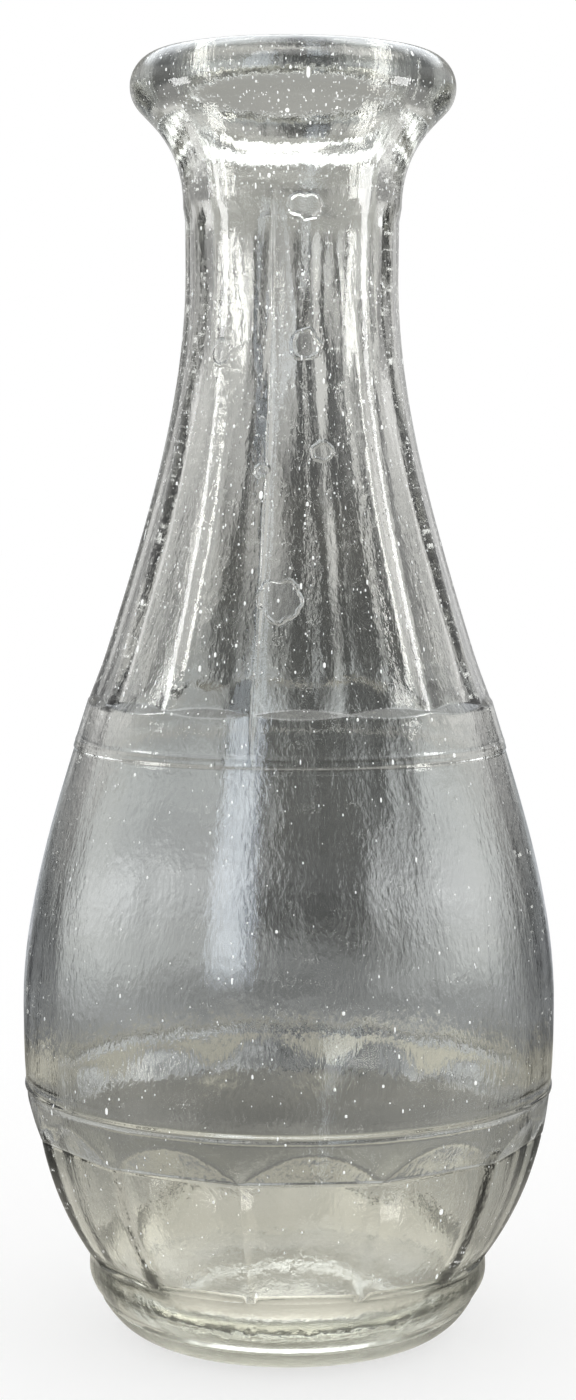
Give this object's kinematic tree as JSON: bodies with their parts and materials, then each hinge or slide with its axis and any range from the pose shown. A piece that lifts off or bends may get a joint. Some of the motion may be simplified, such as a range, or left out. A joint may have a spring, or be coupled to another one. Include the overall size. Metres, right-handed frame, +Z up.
{
  "type": "glass water carafe",
  "caption": "Pressed clear-glass carafe with a flared rounded lip, a flat-panelled neck, a smooth belly and a panelled heel on a round foot.",
  "frame": {"origin": "centre of the standing ring, on the standing plane", "axes": "+Z up along the carafe's axis; the two mould seams lie on the -Y and +Y sides"},
  "size_m": [0.0962, 0.0962, 0.2297],
  "materials": {
    "clear_glass": "fire-polished pressed soda-lime glass with small seeds",
    "thick_glass": "thick pressed soda-lime glass, faintly green"
  },
  "bodies": {
    "root": {"foot_ring": "thick_glass", "base_disc": "thick_glass", "panelled_heel": "clear_glass", "lower_band": "clear_glass", "belly": "clear_glass", "shoulder_band": "clear_glass", "panelled_neck": "clear_glass", "mouth_ring": "thick_glass"}
  },
  "joints": []
}
